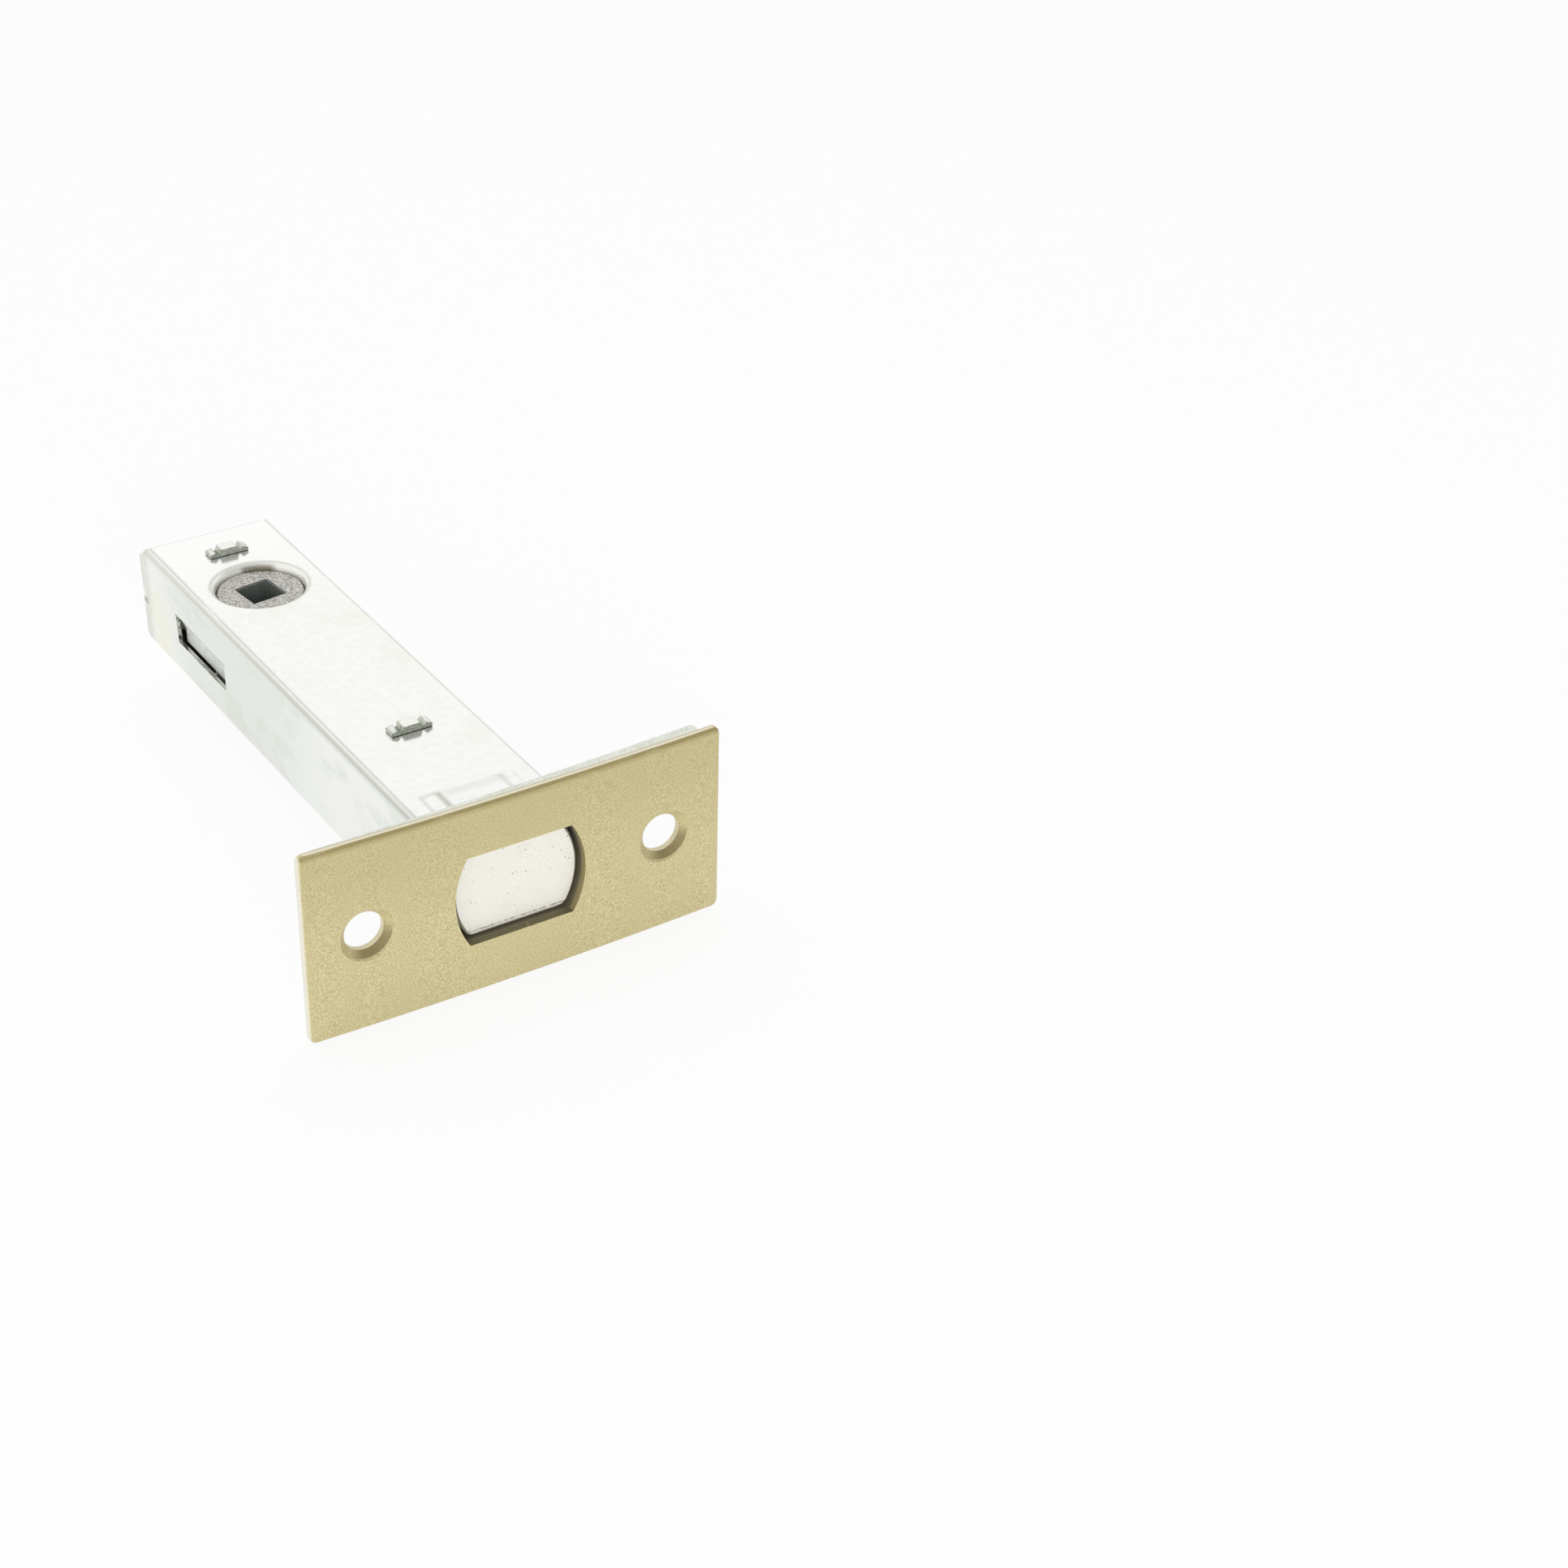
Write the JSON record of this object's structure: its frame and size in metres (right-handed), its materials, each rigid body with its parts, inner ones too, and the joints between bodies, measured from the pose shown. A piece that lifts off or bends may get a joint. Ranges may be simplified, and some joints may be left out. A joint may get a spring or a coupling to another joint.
{
  "type": "tubular deadbolt",
  "caption": "Tubular mortice deadbolt with a bowed brass-plated forend, a folded steel case and a square-drive follower that throws the bolt.",
  "frame": {"origin": "on the bolt's axis, midway between the forend's screw holes, level with the forend's front at its ends", "axes": "-Y out of the forend's front, the way the bolt is thrown; +Y back along the case; +X along the forend's long side; +Z along the follower's axis"},
  "size_m": [0.06, 0.0975, 0.028],
  "materials": {
    "brass_plate": "satin brass plate, fine grain",
    "zinc_plate": "bright zinc plate",
    "zinc_sheet": "galvanised sheet",
    "zinc_cast": "as cast, grainy",
    "nickel_plate": "satin nickel plate",
    "spring_steel": "plain"
  },
  "bodies": {
    "case": {"outer_forend": "brass_plate", "inner_forend": "zinc_plate", "case_body": "zinc_sheet", "case_cover": "zinc_sheet", "front_pillar": "zinc_plate", "rear_pillar": "zinc_plate"},
    "bolt": {"bolt_head": "nickel_plate", "bolt_tail": "zinc_plate", "bolt_rivet_front": "nickel_plate", "bolt_rivet_rear": "nickel_plate", "detent_spring": "spring_steel", "spring_rivet": "zinc_plate"},
    "follower": {"follower": "zinc_cast"}
  },
  "joints": [
    {"name": "bolt_throw", "type": "slide", "parent": "case", "child": "bolt", "axis": [0, -1, 0], "range_m": [0, 0.0125], "deforming": ["detent_spring"]},
    {"name": "follower_turn", "type": "hinge", "parent": "case", "child": "follower", "pos_m": [0, 0.0764, 0], "axis": [0, 0, 1], "range_deg": [0, 90]}
  ],
  "couplings": [
    {"joint": "follower_turn", "follows": "bolt_throw", "rad_per_m": 125.66}
  ]
}
